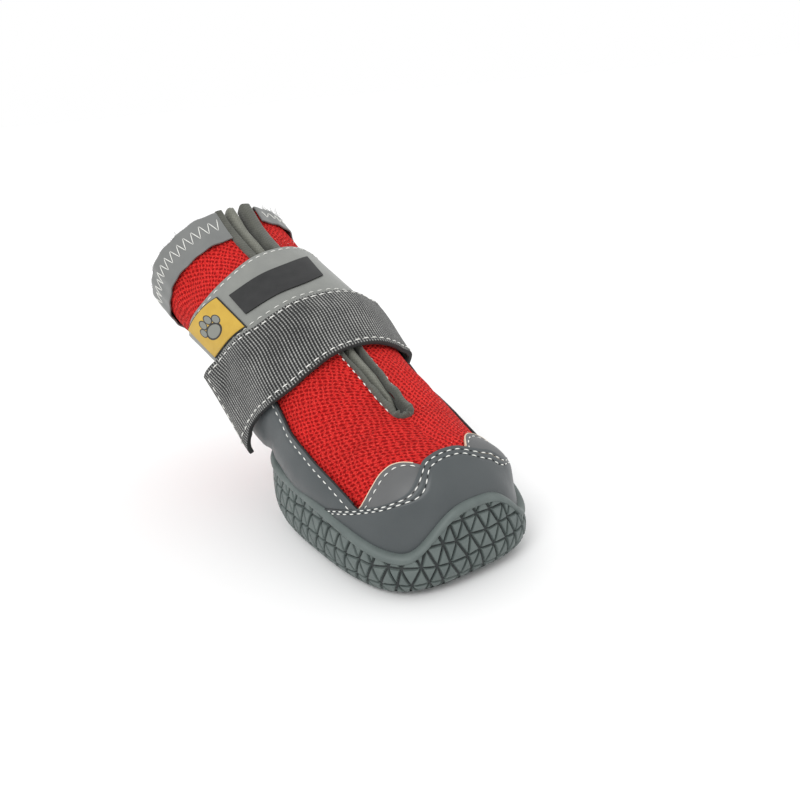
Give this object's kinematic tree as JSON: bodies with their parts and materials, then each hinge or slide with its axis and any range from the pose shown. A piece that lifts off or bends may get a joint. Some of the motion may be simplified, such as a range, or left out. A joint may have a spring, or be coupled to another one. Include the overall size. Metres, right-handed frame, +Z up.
{
  "type": "dog boot",
  "caption": "Soft mesh boot for a dog's paw on a moulded rubber cup sole, with a toe cap, a laid-back open shaft, a throat slit with a gusset and a wrap strap.",
  "frame": {"origin": "on the floor under the sole, on the boot's long axis, about the middle of the foot", "axes": "+X to the toe, +Y to the boot's left, +Z up"},
  "size_m": [0.1502, 0.0605, 0.0908],
  "materials": {
    "rubber": "matt moulded rubber with triangle blocks",
    "foam": "soft foam with a woven face",
    "mesh": "air mesh with a thin lining",
    "cap_leather": "smooth synthetic leather, semi-matt",
    "petal_leather": "smooth synthetic leather, matt",
    "binding": "folded woven binding",
    "reflective_tape": "grey reflective tape",
    "webbing": "ribbed heathered webbing",
    "plate_rubber": "thin bare rubber patch",
    "badge_rubber": "thin yellow rubber patch"
  },
  "bodies": {
    "root": {"outsole": "rubber", "insole": "foam", "upper": "mesh", "toe_cap": "cap_leather", "toe_lobe_right": "petal_leather", "toe_lobe_left": "petal_leather", "counter": "cap_leather", "throat_binding": "binding", "gusset": "binding", "collar_band": "reflective_tape", "webbing_strap": "webbing", "reflective_strap": "reflective_tape", "name_plate": "plate_rubber", "badge": "badge_rubber"}
  },
  "joints": []
}
